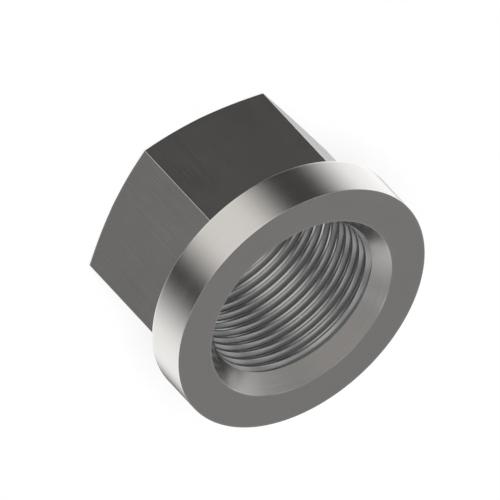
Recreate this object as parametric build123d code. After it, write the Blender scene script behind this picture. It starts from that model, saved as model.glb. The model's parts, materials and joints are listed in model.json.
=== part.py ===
from build123d import *
import os
from math import cos, radians, tan

# Hex flange nut, one solid piece of steel. It stands on the free end of its hexagon, and the
# bearing face of its flange is on top. The origin is the centre of the hex end face, +Z runs
# along the bore towards the bearing face, and a corner of the hexagon lies on +X.

# Metric fine thread: outside diameter, pitch, and the angle between the flanks of a groove. The
# grooves are plain rings with the thread's depth and pitch, without the rise of its helix.
thread_diameter = 24.0
thread_pitch = 1.5
thread_angle = 60.0

# Overall height, from the hex end to the bearing face.
nut_height = 22.0

# Hexagon, where the spanner goes.
across_flats = 30.0
corner_break = 0.15

# Chamfer turned on the hex end, as a shallow cone that cuts a curve into each flat.
# The land is what stays flat between the chamfer's circle and the middle of a flat.
chamfer_angle = 20.0
chamfer_land = 0.05

# Flange, with both edges of its rim broken.
flange_diameter = 36.0
flange_thickness = 6.0
rim_break = 0.15

# Countersinks of the bore: how far each reaches past the thread, and its full cone angle.
bearing_sink_rim = 1.2
bearing_sink_angle = 73.0
hex_sink_rim = 0.6
hex_sink_angle = 90.0

# A thread of this form is tapped in a hole one pitch smaller than its outside diameter.
bore_radius = (thread_diameter - thread_pitch) / 2
flange_bottom = nut_height - flange_thickness


def hex_prism():
    """The hexagonal bar under the flange, with its long corners lightly broken."""
    section = RegularPolygon(radius=across_flats / 2, side_count=6, major_radius=False)
    section = fillet(section.vertices(), corner_break)
    return extrude(section, amount=flange_bottom)


def turned_end():
    """The round envelope that a lathe leaves of the bar: a flat end and its chamfer cone."""
    end_radius = across_flats / 2 - chamfer_land
    corner_radius = across_flats / 2 / cos(radians(30))
    chamfer_height = (corner_radius - end_radius) * tan(radians(chamfer_angle))
    profile = Polyline(
        (0, 0),
        (end_radius, 0),
        (corner_radius, chamfer_height),
        (corner_radius, flange_bottom),
        (0, flange_bottom),
        close=True,
    )
    return revolve(Plane.XZ * make_face(profile), Axis.Z)


def flange():
    """The round flange, whose top is the bearing face."""
    disc = Pos(0, 0, flange_bottom) * Cylinder(
        flange_diameter / 2,
        flange_thickness,
        align=(Align.CENTER, Align.CENTER, Align.MIN),
    )
    return chamfer(disc.edges().filter_by(GeomType.CIRCLE), rim_break)


def sink_depth(rim, angle):
    """How deep a countersink goes before its cone reaches the wall of the bore."""
    mouth_radius = thread_diameter / 2 + rim
    return (mouth_radius - bore_radius) / tan(radians(angle / 2))


def groove(height):
    """The corners of the thread's groove at a height, from the bore's wall to its root and back."""
    half_width = (thread_diameter / 2 - bore_radius) * tan(radians(thread_angle / 2))
    return [
        (bore_radius, height - half_width),
        (thread_diameter / 2, height),
        (bore_radius, height + half_width),
    ]


def thread(bottom, top):
    """The corners of as many grooves as fit in the bore's wall, with equal crests at its ends."""
    count = int((top - bottom) / thread_pitch)
    first = (bottom + top - (count - 1) * thread_pitch) / 2
    return [corner for i in range(count) for corner in groove(first + i * thread_pitch)]


def bore():
    """The threaded bore with a countersink at each end, as one turned plug to cut away."""
    bearing_sink = sink_depth(bearing_sink_rim, bearing_sink_angle)
    hex_sink = sink_depth(hex_sink_rim, hex_sink_angle)
    profile = Polyline(
        (0, 0),
        (thread_diameter / 2 + hex_sink_rim, 0),
        (bore_radius, hex_sink),
        *thread(hex_sink, nut_height - bearing_sink),
        (bore_radius, nut_height - bearing_sink),
        (thread_diameter / 2 + bearing_sink_rim, nut_height),
        (0, nut_height),
        close=True,
    )
    return revolve(Plane.XZ * make_face(profile), Axis.Z)


nut = (hex_prism() & turned_end()) + flange() - bore()

os.makedirs("parts", exist_ok=True)
export_step(nut, "parts/hex_flange_nut.step")
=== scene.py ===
import json
from functools import partial
from math import atan2, cos, pi, radians, sin, sqrt, tan

import bmesh
import bpy
from mathutils import Matrix, Vector
from mathutils.geometry import delaunay_2d_cdt

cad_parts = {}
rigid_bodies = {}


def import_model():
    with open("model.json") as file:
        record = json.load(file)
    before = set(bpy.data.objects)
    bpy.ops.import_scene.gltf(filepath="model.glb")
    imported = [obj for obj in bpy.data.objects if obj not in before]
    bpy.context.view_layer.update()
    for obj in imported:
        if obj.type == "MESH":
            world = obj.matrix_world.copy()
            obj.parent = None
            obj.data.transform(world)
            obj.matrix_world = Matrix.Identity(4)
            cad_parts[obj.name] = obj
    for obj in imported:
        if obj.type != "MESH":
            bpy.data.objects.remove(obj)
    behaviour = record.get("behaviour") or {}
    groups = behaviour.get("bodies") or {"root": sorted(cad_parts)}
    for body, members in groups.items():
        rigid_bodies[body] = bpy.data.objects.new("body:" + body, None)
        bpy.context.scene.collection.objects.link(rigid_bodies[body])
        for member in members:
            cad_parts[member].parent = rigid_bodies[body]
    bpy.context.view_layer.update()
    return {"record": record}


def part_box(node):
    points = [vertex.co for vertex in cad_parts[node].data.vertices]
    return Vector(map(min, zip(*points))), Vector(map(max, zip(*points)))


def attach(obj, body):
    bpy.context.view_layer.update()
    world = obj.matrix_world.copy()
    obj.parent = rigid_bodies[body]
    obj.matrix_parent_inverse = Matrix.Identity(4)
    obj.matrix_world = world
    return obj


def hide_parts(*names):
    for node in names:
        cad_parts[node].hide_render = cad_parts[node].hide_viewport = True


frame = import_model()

# A hex flange nut that stands on its hex end, with its bearing face up. The mesh is built in
# millimetres and scaled once to metres. The solid's own sizes come from the frame where it
# holds them, and the others repeat the names and values of the part's source.
NODE = "hex_flange_nut"
MM = 0.001

node_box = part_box(NODE)
thread_mount = next(m for m in frame["record"]["mounts"] if m["kind"] == "threaded_hole")

nut_height = node_box[1][2] / MM
flange_radius = node_box[1][0] / MM
flange_thickness = 6.0
flange_bottom = nut_height - flange_thickness
across_flats = 30.0
chamfer_angle = radians(20.0)
chamfer_land = 0.05
end_radius = across_flats / 2 - chamfer_land
bore_radius = thread_mount["dims"]["r_mm"]
thread_radius = 12.0
thread_pitch = 1.5
thread_angle = radians(60.0)
bearing_mouth = thread_radius + 1.2
bearing_sink_slope = tan(radians(73.0 / 2))
hex_mouth = thread_radius + 0.6
hex_sink_slope = tan(radians(90.0 / 2))

# Edges that the die, the lathe and the tap leave, finer than the solid shows them. The rim's
# back is that on the side of the hexagon, and its front is at the bearing face.
corner_break = 0.08
rim_back_break = 0.1
rim_front_break = 0.05
mouth_break = 0.06
chamfer_edge_break = 0.08
crest_break = 0.24
root_round = 0.14

# Height of the middle of a crest at azimuth 0. It decides where the thread runs out into the
# countersink, which is on the side that the picture hides.
thread_start = 0.09

# How finely round forms are divided: a turn, a flat, a turn of the thread, half a corner of the
# hexagon, and the rounding of an edge and of a crest or root.
ROUND_STEPS = 240
FLAT_STEPS = 30
THREAD_STEPS = 180
HALF_CORNER_STEPS = 3
EDGE_STEPS = 6
CREST_STEPS = 4

# A rounding takes at most this share of each side beside it.
ROUNDING_SHARE = 0.45

# How far an edge's wear reaches onto a face. On a narrow face it stops after one part of so many.
WEAR_WIDTH = 0.3
WEAR_PARTS = 3

# How wide the even strip is that each edge has beside it, on faces that are otherwise filled with
# triangles.
STRIP_WIDTH = 0.4

# Tolerances of the cuts, of the join at the thread's seam and of the filling.
CUT_TOLERANCE = 1e-5
JOIN_DISTANCE = 1e-4
FILL_TOLERANCE = 1e-6

# The finishes of the nut's faces, in the order of its material slots.
TURNED, DRAWN, TAPPED = range(3)


def clean_scene():
    """Removes the lights and cameras that Blender starts with, and leaves what the frame loaded."""
    for thing in list(bpy.data.objects):
        if thing.type in ("LIGHT", "CAMERA"):
            bpy.data.objects.remove(thing)


def arc_at(before, corner, after, radius, steps):
    """Points of a small arc in place of a corner of an outline, tangent to both its sides."""
    before, corner, after = Vector(before), Vector(corner), Vector(after)
    to_before, to_after = (before - corner), (after - corner)
    room = ROUNDING_SHARE * min(to_before.length, to_after.length)
    half = to_before.angle(to_after) / 2
    reach = min(radius / tan(half), room)
    radius = reach * tan(half)
    middle = (to_before.normalized() + to_after.normalized()).normalized()
    centre = corner + middle * radius / sin(half)
    start = corner + to_before.normalized() * reach - centre
    turn = start.angle_signed(corner + to_after.normalized() * reach - centre)
    return [centre + Matrix.Rotation(-turn * i / steps, 2) @ start for i in range(steps + 1)]


def arcs(corners, radii, steps):
    """The arc that takes the place of each inner corner of an open outline."""
    threes = zip(corners, corners[1:], corners[2:])
    return [arc_at(*three, radius, steps) for three, radius in zip(threes, radii)]


def outline(corners, radii):
    """An open outline as (radius, height, wear), with its inner corners rounded.

    Wear is 1 on the rounded corners and has faded where the faces beside them begin.
    """
    points = [(*corners[0], 0)]
    ends = zip(corners, corners[2:])
    for (before, after), arc in zip(ends, arcs(corners, radii, EDGE_STEPS)):
        to_before, to_after = (Vector(before) - arc[0]), (Vector(after) - arc[-1])
        lead_in = arc[0] + to_before.normalized() * min(WEAR_WIDTH, to_before.length / WEAR_PARTS)
        lead_out = arc[-1] + to_after.normalized() * min(WEAR_WIDTH, to_after.length / WEAR_PARTS)
        points += [(*lead_in, 0), *((*p, 1) for p in arc), (*lead_out, 0)]
    return points + [(*corners[-1], 0)]


def hex_corner():
    """Where the centre of a rounded corner of the hexagon is, and the azimuth where it ends."""
    centre = (across_flats / 2 - corner_break) / cos(pi / 6)
    edge = atan2(corner_break * sin(pi / 6), centre + corner_break * cos(pi / 6))
    return centre, edge


def hex_columns():
    """(azimuth, wear) of the columns round the hexagon: close on its corners, even on its flats."""
    edge = hex_corner()[1]
    faded = edge + WEAR_WIDTH / across_flats
    half = HALF_CORNER_STEPS
    corner = [(edge * i / half, 1) for i in range(-half, half + 1)]
    step = (pi / 3 - 2 * faded) / FLAT_STEPS
    flat = [(faded + step * i, 0) for i in range(FLAT_STEPS + 1)]
    return [(pi / 3 * side + a, wear) for side in range(6) for a, wear in corner + flat]


def hex_radius(azimuth):
    """How far the rounded hexagon reaches at an azimuth, with a corner at azimuth 0."""
    centre, edge = hex_corner()
    from_corner = (azimuth + pi / 6) % (pi / 3) - pi / 6
    if abs(from_corner) > edge:
        return across_flats / 2 / cos(pi / 6 - abs(from_corner))
    return centre * cos(from_corner) + sqrt(corner_break**2 - (centre * sin(from_corner)) ** 2)


def round_columns():
    """(azimuth, wear) of the columns round a turned form, whose own edges carry all its wear."""
    return [(2 * pi * i / ROUND_STEPS, 0) for i in range(ROUND_STEPS)]


def rings(bm, columns, outlines):
    """Loops of vertices round the axis, one for each point of an outline, with an outline per column."""
    worn = bm.verts.layers.float["wear"]
    made = []
    for (azimuth, column_wear), points in zip(columns, outlines):
        made.append([])
        for r, z, wear in points:
            v = bm.verts.new((r * cos(azimuth), r * sin(azimuth), z))
            v[worn] = max(wear, column_wear)
            made[-1].append(v)
    return [list(loop) for loop in zip(*made)]


def skin(bm, loops, finish):
    """Quads between each loop and the next."""
    for low, high in zip(loops, loops[1:]):
        for i in range(len(low)):
            j = (i + 1) % len(low)
            bm.faces.new((low[i], low[j], high[j], high[i])).material_index = finish


def sharpen(bm, loop):
    """Marks the edges of a loop as sharp, so that shading breaks there."""
    for i, v in enumerate(loop):
        bm.edges.get((v, loop[(i + 1) % len(loop)])).smooth = False


def inside(point, loop):
    """Whether a point lies in a loop of vertices, seen along the axis."""
    crossings = 0
    for i, v in enumerate(loop):
        a, b = v.co, loop[(i + 1) % len(loop)].co
        if (a.y > point[1]) != (b.y > point[1]):
            crossings += point[0] < a.x + (point[1] - a.y) * (b.x - a.x) / (b.y - a.y)
    return crossings % 2 == 1


def fill_ring(bm, outer, inner):
    """Turned triangles between two loops, one inside the other as seen along the axis."""
    verts = outer + inner
    count = len(outer)
    edges = [(i, (i + 1) % count) for i in range(count)]
    edges += [(count + i, count + (i + 1) % len(inner)) for i in range(len(inner))]
    made = delaunay_2d_cdt([v.co.xy for v in verts], edges, [], 0, FILL_TOLERANCE)
    triangles, origins = made[2], made[3]
    for triangle in triangles:
        corners = [verts[origins[i][0]] for i in triangle]
        middle = sum((v.co for v in corners), Vector()) / 3
        if not inside(middle, inner):
            bm.faces.new(corners).material_index = TURNED


def thread_profile():
    """One pitch of the internal thread as (height, radius), from the middle of a crest to the next.

    The root of a metric thread is flat over an eighth of its pitch.
    """
    flank = (thread_radius - bore_radius) * tan(thread_angle / 2)
    root = thread_pitch / 8
    crest = thread_pitch - root - 2 * flank
    corners = [
        (0, bore_radius),
        (crest / 2, bore_radius),
        (crest / 2 + flank, thread_radius),
        (crest / 2 + flank + root, thread_radius),
        (thread_pitch - crest / 2, bore_radius),
        (thread_pitch, bore_radius),
    ]
    rounded = arcs(corners, [crest_break, root_round, root_round, crest_break], CREST_STEPS)
    return [corners[0]] + [tuple(p) for arc in rounded for p in arc]


def thread_sheet(bm):
    """The right-hand helix, cut off where the two countersinks meet it.

    It is made unrolled, as (azimuth, radius, height). There both cones are planes, so the cuts
    are exact, and the sheet is then rolled up and joined at its seam. It starts two pitches below
    the nut, because it rises by one on its way round.
    """
    profile = thread_profile()
    first, last = -2, int(nut_height / thread_pitch) + 1
    rows = [
        (thread_start + thread_pitch * turn + z, r) for turn in range(first, last) for z, r in profile
    ]
    columns = []
    for i in range(THREAD_STEPS + 1):
        share = i / THREAD_STEPS
        columns.append([bm.verts.new((2 * pi * share, r, z + thread_pitch * share)) for z, r in rows])
    for left, right in zip(columns, columns[1:]):
        for i in range(len(rows) - 1):
            face = bm.faces.new((left[i], right[i], right[i + 1], left[i + 1]))
            face.material_index = TAPPED
    cones = [
        (Vector((0, bearing_mouth, nut_height)), Vector((0, -1, bearing_sink_slope))),
        (Vector((0, hex_mouth, 0)), Vector((0, -1, -hex_sink_slope))),
    ]
    for point, normal in cones:
        bmesh.ops.bisect_plane(
            bm,
            geom=bm.verts[:] + bm.edges[:] + bm.faces[:],
            dist=CUT_TOLERANCE,
            plane_co=point,
            plane_no=normal,
            clear_outer=True,
        )
    for v in bm.verts:
        azimuth, r, z = v.co
        v.co = (r * cos(azimuth), r * sin(azimuth), z)
    bmesh.ops.remove_doubles(bm, verts=bm.verts[:], dist=JOIN_DISTANCE)


def open_loops(bm):
    """The closed loops of edges that have a face on one side only, lowest first."""
    open_edges = {e for e in bm.edges if e.is_boundary}
    loops = []
    while open_edges:
        edge = open_edges.pop()
        loop = [edge.verts[0], edge.verts[1]]
        while loop[-1] is not loop[0]:
            edge = next(e for e in loop[-1].link_edges if e in open_edges)
            open_edges.remove(edge)
            loop.append(edge.other_vert(loop[-1]))
        loops.append(loop[:-1])
    return sorted(loops, key=lambda loop: min(v.co.z for v in loop))


def hexagon_skin(bm):
    """The hexagon's drawn flats and its turned chamfer. Returns its lowest and its highest loop."""
    columns = hex_columns()
    outlines = []
    for azimuth, _ in columns:
        reach = hex_radius(azimuth)
        chamfer_top = (reach - end_radius) * tan(chamfer_angle)
        corners = [(end_radius, 0), (reach, chamfer_top), (reach, flange_bottom)]
        outlines.append(outline(corners, [chamfer_edge_break]))
    loops = rings(bm, columns, outlines)
    chamfer_end = len(loops) - 2
    skin(bm, loops[:chamfer_end], TURNED)
    skin(bm, loops[chamfer_end - 1 :], DRAWN)
    return loops[0], loops[-1]


def turned_skin(bm, corners, radii):
    """A turned form from its outline's corners and their rounding. Returns its first and last loop."""
    loops = rings(bm, round_columns(), [outline(corners, radii)] * ROUND_STEPS)
    skin(bm, loops, TURNED)
    return loops[0], loops[-1]


def flange_skin(bm):
    """The flange from its underside, over the rim and the bearing face, into the countersink."""
    corners = [
        (flange_radius - STRIP_WIDTH, flange_bottom),
        (flange_radius, flange_bottom),
        (flange_radius, nut_height),
        (bearing_mouth, nut_height),
        (bearing_mouth - STRIP_WIDTH, nut_height - STRIP_WIDTH / bearing_sink_slope),
    ]
    return turned_skin(bm, corners, [rim_back_break, rim_front_break, mouth_break])


def hex_mouth_skin(bm):
    """The edge round the countersink of the hexagon's end, from the cone out onto the end face."""
    corners = [
        (hex_mouth - STRIP_WIDTH, STRIP_WIDTH / hex_sink_slope),
        (hex_mouth, 0),
        (hex_mouth + STRIP_WIDTH, 0),
    ]
    return turned_skin(bm, corners, [mouth_break])


def nut_mesh():
    """The whole nut as one closed mesh."""
    bm = bmesh.new()
    bm.verts.layers.float.new("wear")
    thread_sheet(bm)
    low_run_out, high_run_out = open_loops(bm)
    hex_end, hex_root = hexagon_skin(bm)
    underside, bearing_cone = flange_skin(bm)
    hex_cone, hex_face = hex_mouth_skin(bm)

    fill_ring(bm, underside, hex_root)
    fill_ring(bm, hex_end, hex_face)
    fill_ring(bm, bearing_cone, high_run_out)
    fill_ring(bm, hex_cone, low_run_out)
    for loop in (low_run_out, high_run_out, hex_end, hex_root):
        sharpen(bm, loop)

    bmesh.ops.recalc_face_normals(bm, faces=bm.faces[:])
    bmesh.ops.scale(bm, vec=(MM, MM, MM), verts=bm.verts[:])
    return bm


def build_nut():
    """The nut as one piece, which takes the place of the solid."""
    bm = nut_mesh()
    mesh = bpy.data.meshes.new("nut")
    for face in bm.faces:
        face.smooth = True
    bm.to_mesh(mesh)
    bm.free()
    nut = bpy.data.objects.new("nut", mesh)
    bpy.context.collection.objects.link(nut)
    normals = nut.modifiers.new("even_normals", "WEIGHTED_NORMAL")
    normals.mode = "FACE_AREA"
    normals.keep_sharp = True
    for material in steels():
        mesh.materials.append(material)
    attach(nut, "root")
    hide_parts(NODE)
    return nut


def node(tree, kind, *inputs, **settings):
    """A node with its settings made and its inputs in order: numbers, sockets, or None to skip."""
    made = tree.nodes.new("ShaderNode" + kind)
    for name, value in settings.items():
        setattr(made, name, value)
    for socket, value in zip(made.inputs, inputs):
        if isinstance(value, bpy.types.NodeSocket):
            tree.links.new(value, socket)
        elif value is not None:
            socket.default_value = value
    return made


def calc(tree, operation, *inputs):
    return node(tree, "Math", *inputs, operation=operation).outputs[0]


def mix(tree, factor, a, b):
    return node(tree, "Mix", factor, None, a, b, data_type="FLOAT").outputs[0]


def mix_colour(tree, factor, a, b):
    made = node(tree, "Mix", factor, None, None, None, None, None, a, b, data_type="RGBA")
    return made.outputs[2]


def smooth_step(tree, value, low, high):
    """0 where value is at low, 1 where it is at high, and a soft passage between."""
    made = node(tree, "MapRange", value, low, high, interpolation_type="SMOOTHSTEP")
    return made.outputs[0]


def noise(tree, point, detail):
    """Noise with about one lump per unit of a point's coordinates, spread over 0 to 1."""
    made = node(tree, "TexNoise", point, None, NOISE_SCALE, detail, NOISE_ROUGHNESS)
    return node(tree, "MapRange", made.outputs[0], *NOISE_RANGE).outputs[0]


def place(tree, *per_mm):
    """Where a point is on the nut, with so many units per millimetre along x, y and z."""
    metres = node(tree, "TexCoord").outputs["Object"]
    scale = tuple(units / MM for units in per_mm)
    return node(tree, "VectorMath", metres, scale, operation="MULTIPLY").outputs[0]


def round_place(tree):
    """A point's place in millimetres as x, y and z, and its distance from the axis."""
    x, y, z = node(tree, "SeparateXYZ", place(tree, 1, 1, 1)).outputs
    squares = [calc(tree, "MULTIPLY", part, part) for part in (x, y)]
    return x, y, z, calc(tree, "SQRT", calc(tree, "ADD", *squares))


def lathe_marks(tree, lines, along_axis):
    """Noise drawn out round the axis, as a cutting tool leaves it, with so many lines per millimetre.

    Along the lathe's axis, height counts along_axis times as much as radius does.
    """
    x, y, z, radius = round_place(tree)
    feed = calc(tree, "MULTIPLY_ADD", z, along_axis, radius)
    across = calc(tree, "MULTIPLY", feed, lines)
    around = (calc(tree, "DIVIDE", part, radius) for part in (x, y))
    return noise(tree, node(tree, "CombineXYZ", across, *around).outputs[0], LINE_DETAIL)


def drawn_marks(tree, lines, along_bar):
    """Noise drawn out along the bar, as the die leaves it, with so many lines per millimetre."""
    return noise(tree, place(tree, lines, lines, along_bar), LINE_DETAIL)


def steel(name, marks, wear, colour, bright, roughness, spread, depth, metallic=1.0):
    """Bare steel. marks and wear are functions that add their nodes and return a socket of 0 to 1.

    bright is the colour where it is worn, spread is how much the roughness varies, and depth is
    how deep the marks are, in millimetres.
    """
    material = bpy.data.materials.new(name)
    material.use_nodes = True
    tree = material.node_tree
    shader = tree.nodes["Principled BSDF"]
    shader.inputs["Metallic"].default_value = metallic

    lines = marks(tree)
    clouds = noise(tree, place(tree, *CLOUDS_PER_MM), CLOUD_DETAIL)
    worn = calc(tree, "MULTIPLY", wear(tree), mix(tree, clouds, LEAST_WEAR, 1.0))

    deep, high = ((*(share * part for part in colour), 1) for share in COLOUR_RANGE)
    plain = mix_colour(tree, mix(tree, CLOUDS_IN_COLOUR, lines, clouds), deep, high)
    tree.links.new(mix_colour(tree, worn, plain, (*bright, 1)), shader.inputs["Base Color"])

    texture = mix(tree, CLOUDS_IN_ROUGHNESS, lines, clouds)
    grain = mix(tree, texture, roughness - spread, roughness + spread)
    rubbed = roughness - WORN_SPREADS * spread
    tree.links.new(mix(tree, worn, grain, rubbed), shader.inputs["Roughness"])
    if metallic < WORN_METALLIC:
        tree.links.new(mix(tree, worn, metallic, WORN_METALLIC), shader.inputs["Metallic"])

    bump = node(tree, "Bump", 1.0, depth * MM)
    tree.links.new(lines, bump.inputs["Height"])
    tree.links.new(bump.outputs[0], shader.inputs["Normal"])
    return material


def edge_wear(tree):
    """The wear that the mesh stores along its edges."""
    return node(tree, "Attribute", attribute_name="wear").outputs["Fac"]


def crest_wear(tree):
    """Wear on the thread's crests, which the drill left and the bolt rubs."""
    radius = round_place(tree)[-1]
    return smooth_step(tree, radius, bore_radius + CREST_WEAR_DEPTH, bore_radius)


# Colours of clean steel, of its worn edges, and of the thread and its crests, which cutting oil
# and the tap leave greyer and duller.
STEEL = (0.575, 0.56, 0.545)
BRIGHT_STEEL = (0.64, 0.63, 0.615)
TAPPED_STEEL = (0.35, 0.353, 0.353)
CREST_STEEL = (0.44, 0.44, 0.44)

# Noise makes the lines that the tools leave, and clouds of tone over all of the nut. The range
# is the part of its outcome that is spread over 0 to 1.
NOISE_SCALE = 1.0
NOISE_ROUGHNESS = 0.6
NOISE_RANGE = (0.3, 0.7)
LINE_DETAIL = 2.0
CLOUD_DETAIL = 3.0
CLOUDS_PER_MM = (0.15, 0.15, 0.15)

# The clouds' share in colour and in roughness, beside the lines', and the range of colour.
CLOUDS_IN_COLOUR = 0.5
CLOUDS_IN_ROUGHNESS = 0.4
COLOUR_RANGE = (0.97, 1.03)

# The least that an edge is worn, how far into a groove the wear of its crests reaches, and what
# wear does: how many spreads smoother it leaves the steel, and how metallic it leaves a dull one.
LEAST_WEAR = 0.6
CREST_WEAR_DEPTH = 0.2
WORN_SPREADS = 2
WORN_METALLIC = 0.98


def steels():
    """The materials of the nut's finishes, in their order."""
    turned = partial(lathe_marks, lines=4.0, along_axis=0.8)
    drawn = partial(drawn_marks, lines=5.0, along_bar=0.08)
    tapped = partial(lathe_marks, lines=8.0, along_axis=0.0)
    return (
        steel("turned_steel", turned, edge_wear, STEEL, BRIGHT_STEEL, 0.22, 0.03, 0.0006),
        steel("drawn_steel", drawn, edge_wear, STEEL, BRIGHT_STEEL, 0.23, 0.03, 0.0006),
        steel("tapped_steel", tapped, crest_wear, TAPPED_STEEL, CREST_STEEL, 0.27, 0.04, 0.001, 0.84),
    )


# The picture is a parallel projection. Its scale, and where the middle of the bearing face
# falls, are given in the picture's pixels, counted from its centre, right and down.
IMAGE_SIDE = 500
PIXELS_PER_MM = 8.1585
FACE_MIDDLE_PX = (51.683, 58.587)
CAMERA_DISTANCE = 0.5
camera_right = Vector((-0.83831, 0.03293, 0.54420))
camera_down = Vector((0.40701, 0.70192, 0.58451))


def place_camera():
    """A camera that sees the nut as the picture does."""
    back = (-camera_right.cross(camera_down)).normalized()
    data = bpy.data.cameras.new("camera")
    data.type = "ORTHO"
    data.ortho_scale = IMAGE_SIDE / PIXELS_PER_MM * MM
    camera = bpy.data.objects.new("camera", data)
    bpy.context.collection.objects.link(camera)
    across, along = (MM * p / PIXELS_PER_MM for p in FACE_MIDDLE_PX)
    face_middle = Vector((0, 0, nut_height * MM))
    camera.location = face_middle - camera_right * across - camera_down * along + back * CAMERA_DISTANCE
    up = -camera_down
    camera.rotation_euler = Matrix((camera_right, up, back)).transposed().to_euler()
    bpy.context.scene.camera = camera


# The studio, as polished metal sees it. Angles are in degrees, and level 1 is white.
# Below the horizon stand three tall softboxes with dark flags between them: their middle
# azimuth, half width, how soft their first and their last edge are, and level.
SOFTBOXES = [(-64, 33.5, 40, 40, 1.07), (55, 35, 58, 38, 1.36), (164.5, 34.5, 18, 50, 1.4)]
FLAG_LEVEL = 0.07
# They are fully bright up to the first of these elevations, and from the second on are dimmed.
DIMMING = (-30, -14)
DIMMED = 0.42
# Above the horizon the level goes by elevation, and is higher on the first softbox's side. The
# light of that side is warmer. The two halves pass into each other between two elevations.
SKY = [(0, 0.78), (8, 0.7), (22, 0.345), (37, 0.305), (52, 0.2), (66, 0.15), (90, 0.15)]
FRONT = (-63, 45, 60, 60)
FRONT_GAIN = 0.29
FRONT_TINT = (1.02, 1.0, 0.97, 1)
HORIZON = (-5, 2)
# Round softboxes hang overhead: their azimuth, elevation, radius, soft edge and level.
OVERHEAD = [
    (-63, 70, 15, 8, 1.1),
    (-147, 41, 11, 6, 1.35),
    (13, 41, 11, 6, 1.35),
    (178, 33, 9, 8, 1.0),
    (57, 32, 9, 8, 1.0),
    (-156, 66, 11, 8, 0.9),
    (30, 66, 11, 8, 0.9),
]
# What lights rough surfaces, such as the floor, and the white that the camera sees behind.
AMBIENT = 0.4
BACKGROUND = 1.0
# The floor's side in metres and its colour. Its glow is how much of its white doesn't depend on
# the light, so that the shadow on it stays faint.
FLOOR_SIDE = 8.0
FLOOR_WHITE = (0.92, 0.92, 0.92, 1)
FLOOR_GLOW = 0.85
# The key light, a wide sun from the camera's side. It lights what is dull, such as the floor
# and the thread's flanks, and the metal doesn't mirror it.
KEY_HEADING = (-63, 45)
KEY_WIDTH = 15
KEY_POWER = 3.3


def seen_rays(tree):
    """1 for rays from the camera, through glass or by reflection, and 1 for those by reflection."""
    path = node(tree, "LightPath").outputs
    direct = calc(tree, "MAXIMUM", path["Is Camera Ray"], path["Is Transmission Ray"])
    return calc(tree, "MAXIMUM", direct, path["Is Glossy Ray"]), path["Is Glossy Ray"]


def make_floor():
    """A plain white floor. The metal shows the studio in its place, as in a light tent."""
    reach = FLOOR_SIDE / 2
    mesh = bpy.data.meshes.new("floor")
    corners = [(-reach, -reach, 0), (reach, -reach, 0), (reach, reach, 0), (-reach, reach, 0)]
    mesh.from_pydata(corners, [], [(0, 1, 2, 3)])
    floor = bpy.data.objects.new("floor", mesh)
    bpy.context.collection.objects.link(floor)
    material = bpy.data.materials.new("floor")
    material.use_nodes = True
    tree = material.node_tree
    tree.nodes.clear()
    lit = node(tree, "BsdfDiffuse", FLOOR_WHITE)
    glow = node(tree, "Emission", (1, 1, 1, 1), BACKGROUND)
    share = calc(tree, "MULTIPLY", seen_rays(tree)[0], FLOOR_GLOW)
    surface = node(tree, "MixShader", share, lit.outputs[0], glow.outputs[0])
    tree.links.new(surface.outputs[0], node(tree, "OutputMaterial").inputs[0])
    mesh.materials.append(material)
    floor.visible_glossy = False


def softbox(tree, azimuth, middle, half_width, soft_first, soft_last):
    """1 in the middle of a tall softbox, fading to 0 over its soft edges."""
    offset = calc(tree, "WRAP", calc(tree, "SUBTRACT", azimuth, radians(middle)), pi, -pi)
    first = (radians(side * soft_first / 2 - half_width) for side in (-1, 1))
    last = (radians(side * soft_last / 2 + half_width) for side in (1, -1))
    return calc(tree, "MULTIPLY", smooth_step(tree, offset, *first), smooth_step(tree, offset, *last))


def heading(azimuth, elevation):
    """The unit vector towards an azimuth and an elevation in degrees."""
    level = cos(radians(elevation))
    return Vector((cos(radians(azimuth)) * level, sin(radians(azimuth)) * level, sin(radians(elevation))))


def round_softbox(tree, direction, azimuth, elevation, radius, soft_edge):
    """1 in the middle of a round softbox, fading to 0 over its soft edge."""
    towards = node(tree, "VectorMath", direction, heading(azimuth, elevation), operation="DOT_PRODUCT")
    away = calc(tree, "ARCCOSINE", towards.outputs["Value"])
    return smooth_step(tree, away, *(radians(radius + side * soft_edge / 2) for side in (1, -1)))


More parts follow.
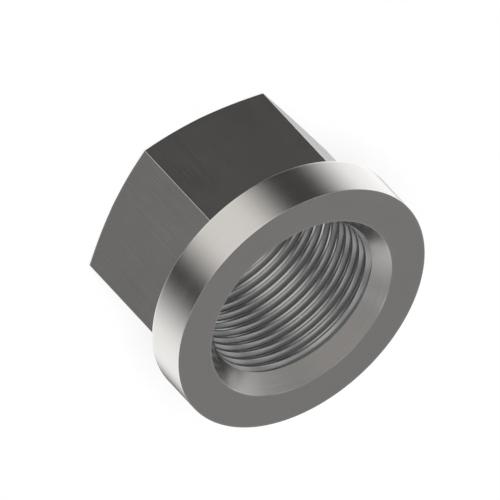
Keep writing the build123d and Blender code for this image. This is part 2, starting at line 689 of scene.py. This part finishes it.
def studio(tree):
    """How bright the studio is in each direction, and how much of that is its front's warm light."""
    direction = node(tree, "TexCoord").outputs["Generated"]
    x, y, z = node(tree, "SeparateXYZ", direction).outputs
    azimuth = calc(tree, "ARCTAN2", y, x)
    elevation = calc(tree, "ARCSINE", z)

    below = FLAG_LEVEL
    for *shape, level in SOFTBOXES:
        below = calc(tree, "MULTIPLY_ADD", softbox(tree, azimuth, *shape), level - FLAG_LEVEL, below)

    sky = node(tree, "ValToRGB", calc(tree, "DIVIDE", elevation, pi / 2))
    stops = sky.color_ramp.elements
    while len(stops) < len(SKY):
        stops.new(0.5)
    for stop, (height, level) in zip(stops, SKY):
        stop.position = height / 90
        stop.color = (level, level, level, 1)
    front = softbox(tree, azimuth, *FRONT)
    above = calc(tree, "MULTIPLY", sky.outputs[0], calc(tree, "MULTIPLY_ADD", front, FRONT_GAIN, 1.0))
    for *shape, level in OVERHEAD:
        above = mix(tree, round_softbox(tree, direction, *shape), above, level)

    dimming = smooth_step(tree, elevation, *(radians(height) for height in DIMMING))
    below = calc(tree, "MULTIPLY", below, mix(tree, dimming, 1.0, DIMMED))

    horizon = smooth_step(tree, elevation, *(radians(side) for side in HORIZON))
    return mix(tree, horizon, below, above), front


def light_scene():
    """The studio as the world, and the key light."""
    world = bpy.data.worlds.new("studio")
    bpy.context.scene.world = world
    world.use_nodes = True
    tree = world.node_tree
    tree.nodes.clear()
    seen, reflected = seen_rays(tree)
    background = mix(tree, seen, AMBIENT, BACKGROUND)
    level, front = studio(tree)
    strength = calc(tree, "MULTIPLY", background, mix(tree, reflected, 1.0, level))
    warm = calc(tree, "MULTIPLY", reflected, front)
    tint = mix_colour(tree, warm, (1, 1, 1, 1), FRONT_TINT)
    light = node(tree, "Background", tint, strength)
    tree.links.new(light.outputs[0], node(tree, "OutputWorld").inputs[0])

    data = bpy.data.lights.new("key", "SUN")
    data.angle = radians(KEY_WIDTH)
    data.energy = KEY_POWER
    key = bpy.data.objects.new("key", data)
    bpy.context.collection.objects.link(key)
    key.rotation_euler = heading(*KEY_HEADING).to_track_quat("Z", "Y").to_euler()
    key.visible_glossy = False


clean_scene()
place_camera()
make_floor()
build_nut()
light_scene()
bpy.context.scene.view_settings.view_transform = "Standard"
